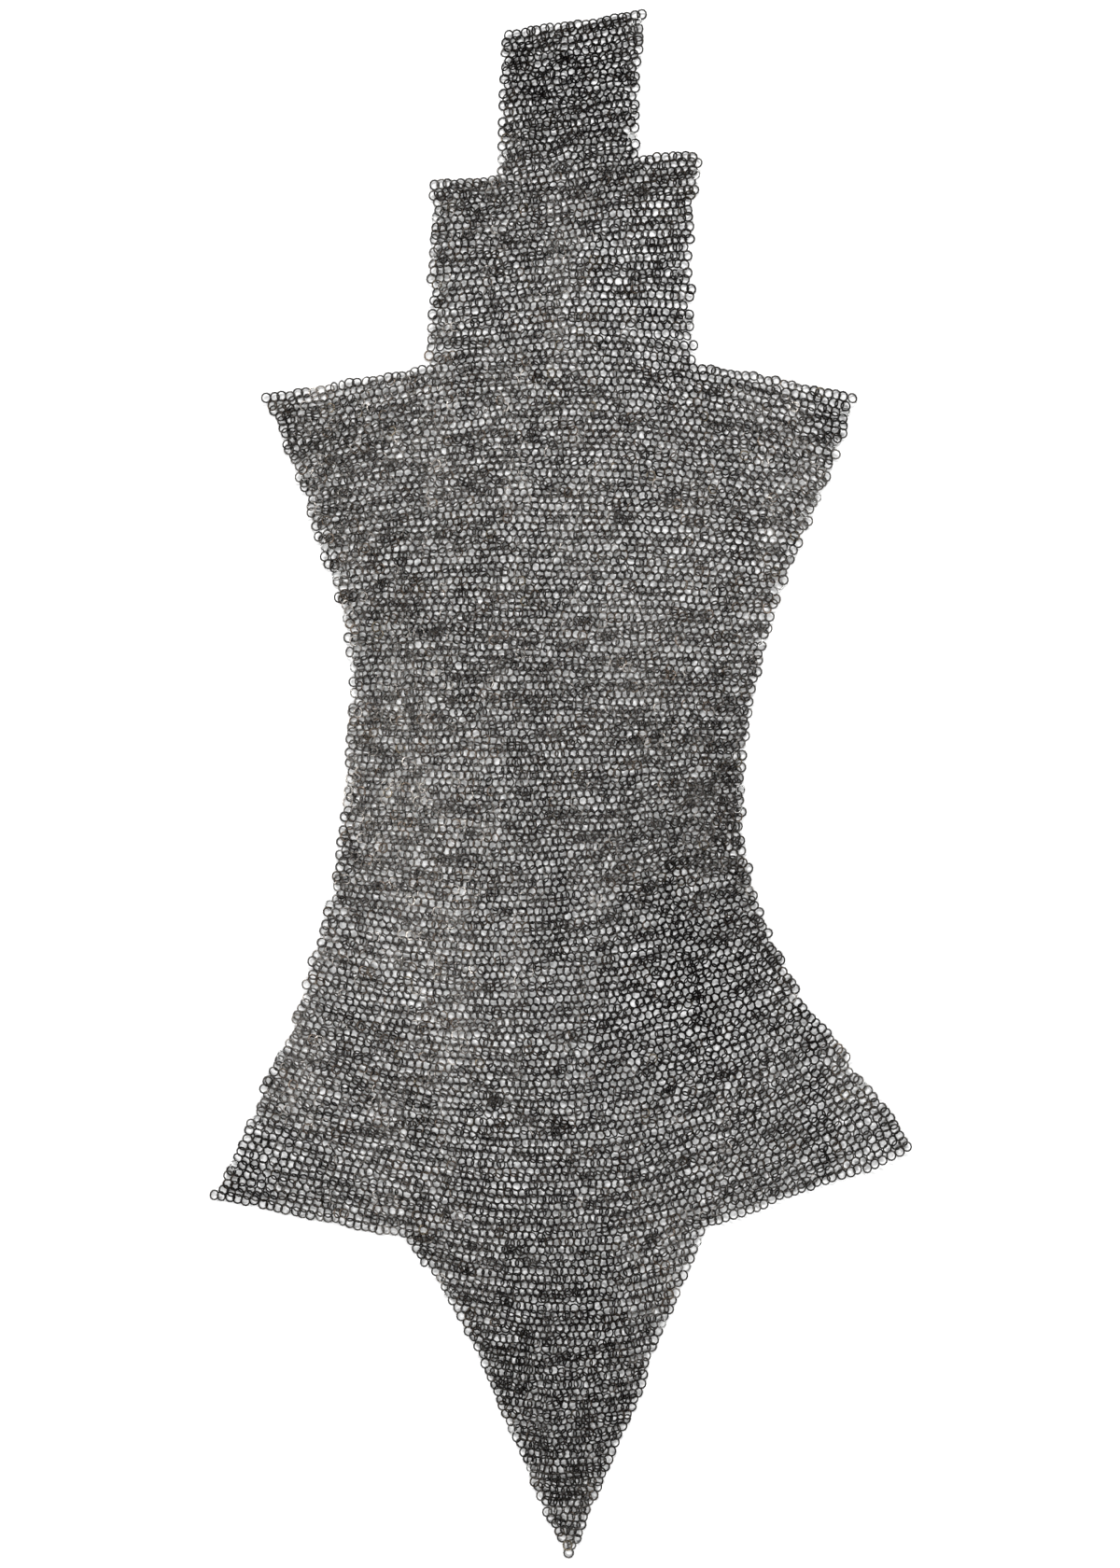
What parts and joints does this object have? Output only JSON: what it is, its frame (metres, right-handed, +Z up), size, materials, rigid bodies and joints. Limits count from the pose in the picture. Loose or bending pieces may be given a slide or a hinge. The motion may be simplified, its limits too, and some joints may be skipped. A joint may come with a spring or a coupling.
{
  "type": "mail chausse",
  "caption": "Mail chausse laid open and flat: a panel of linked steel rings with a stepped end, a narrow waist, two flared corners and a long point.",
  "frame": {"origin": "centre of the laid out panel's box, on the flat underside", "axes": "+X across the panel, +Y along it from the pointed end to the stepped end, +Z up out of the surface it rests on"},
  "size_m": [0.5996, 1.3252, 0.0041],
  "materials": {
    "mail_steel": "dark oiled, worn bright on the rings' shoulders"
  },
  "bodies": {
    "root": {"top_tab": "mail_steel", "top_block": "mail_steel", "upper_left_wing": "mail_steel", "upper_panel": "mail_steel", "upper_right_wing": "mail_steel", "waist_left": "mail_steel", "waist_panel": "mail_steel", "waist_right": "mail_steel", "lower_left_wing": "mail_steel", "lower_panel": "mail_steel", "lower_right_wing": "mail_steel", "bottom_point": "mail_steel"}
  },
  "joints": []
}
